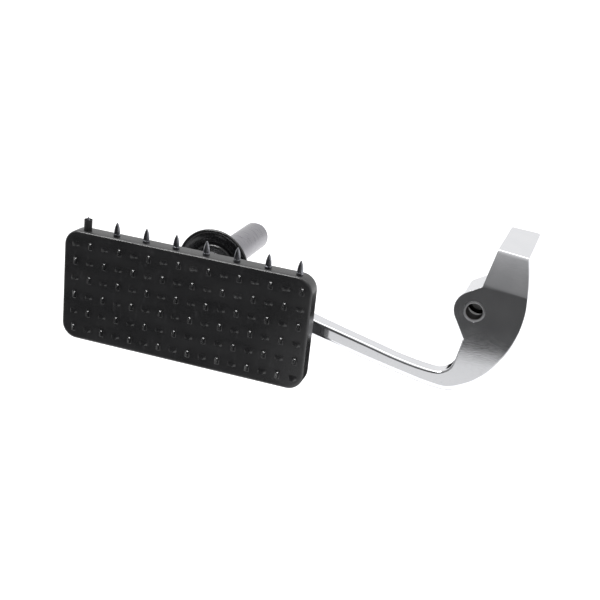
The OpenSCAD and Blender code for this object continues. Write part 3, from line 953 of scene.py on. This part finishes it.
def reflector(name, corners, strength):
    """Four-cornered sheet of light that only shiny faces see."""
    mesh = bpy.data.meshes.new(name)
    mesh.from_pydata(corners, [], [(0, 1, 2, 3)])
    card = bpy.data.objects.new(name, mesh)
    bpy.context.scene.collection.objects.link(card)
    made, tree, light = glow(name + "_shade", strength)
    mesh.materials.append(made)
    card.visible_camera = False
    card.visible_shadow = False
    card.visible_diffuse = False
    return tree, light


def make_card(name, left, right, y, stops):
    """Upright reflector seen only in shiny faces. Each stop is a height in metres and its brightness."""
    low, high = stops[0][0], stops[-1][0]
    corners = [(left, y, low), (right, y, low), (right, y, high), (left, y, high)]
    tree, light = reflector(name, corners, 1.0)
    place = tree.nodes.new("ShaderNodeTexCoord")
    apart = tree.nodes.new("ShaderNodeSeparateXYZ")
    span = tree.nodes.new("ShaderNodeMapRange")
    span.inputs["From Min"].default_value = low
    span.inputs["From Max"].default_value = high
    tree.links.new(place.outputs["Object"], apart.inputs[0])
    tree.links.new(apart.outputs["Z"], span.inputs["Value"])
    shade = grey_ramp(tree, [((z - low) / (high - low), value) for z, value in stops])
    tree.links.new(span.outputs[0], shade.inputs["Fac"])
    tree.links.new(shade.outputs["Color"], light.inputs["Color"])


def overhead_sheet(name, left, right, near, far, height, strength):
    """Level reflector above the object."""
    reflector(name, [(left, near, height), (right, near, height), (right, far, height),
                     (left, far, height)], strength)


def make_reflectors():
    """Cards that the polished arm and the plate see in front and beside them, and light overhead. The
    lengths are in metres."""
    make_card("hub_card", -0.075, 0.9, -0.35,
              [(-0.262, 0.80), (-0.177, 0.78), (-0.170, 0.45), (-0.163, 0.07), (0.02, 0.07),
               (0.176, 0.24), (0.200, 0.34), (0.212, 0.55), (0.260, 0.70)])
    make_card("run_card", -0.24, -0.075, -0.35,
              [(-0.262, 0.85), (-0.172, 0.76), (-0.158, 0.07), (0.45, 0.07)])
    make_card("plate_card", -1.0, -0.185, -0.20, [(-0.295, 0.012), (0.20, 0.012), (0.25, 0.04)])
    make_card("side_card", -0.16, 0.0, 0.10, [(-0.295, 0.01), (-0.05, 0.01)])
    overhead_sheet("overhead", -1.2, 0.9, 0.10, 0.85, 1.15, 3.5)
    overhead_sheet("strip", -1.1, -0.25, -0.44, -0.18, 1.14, 22.0)


def make_world():
    """White studio: bright near the horizon, a darker belt above it, and bright overhead."""
    world = bpy.data.worlds.new("studio")
    bpy.context.scene.world = world
    world.use_nodes = True
    tree = world.node_tree
    place = tree.nodes.new("ShaderNodeTexCoord")
    apart = tree.nodes.new("ShaderNodeSeparateXYZ")
    tree.links.new(place.outputs["Generated"], apart.inputs[0])
    shade = grey_ramp(tree, [(0.0, 0.93), (0.45, 0.90), (0.60, 0.70), (1.0, 0.75)])
    tree.links.new(apart.outputs["Z"], shade.inputs["Fac"])
    tree.links.new(shade.outputs["Color"], tree.nodes["Background"].inputs["Color"])


def make_softbox():
    """Softbox overhead, a little behind the object."""
    data = bpy.data.lights.new("softbox", "AREA")
    data.shape = "RECTANGLE"
    data.size, data.size_y = 1.3, 0.6
    data.energy = 8
    lamp = bpy.data.objects.new("softbox", data)
    lamp.rotation_mode = "QUATERNION"
    lamp.location = (-0.15, 0.60, 1.30)
    lamp.rotation_quaternion = (Vector((-0.12, 0, 0)) - lamp.location).to_track_quat("-Z", "Y")
    bpy.context.scene.collection.objects.link(lamp)


make_camera()
make_floor()
make_reflectors()
make_world()
make_softbox()
bpy.context.scene.view_settings.view_transform = "Standard"

make_arm()
make_bushes()
make_guard()
make_handle()
make_plate()
make_spikes()
make_flange()
finish_kept_nodes()
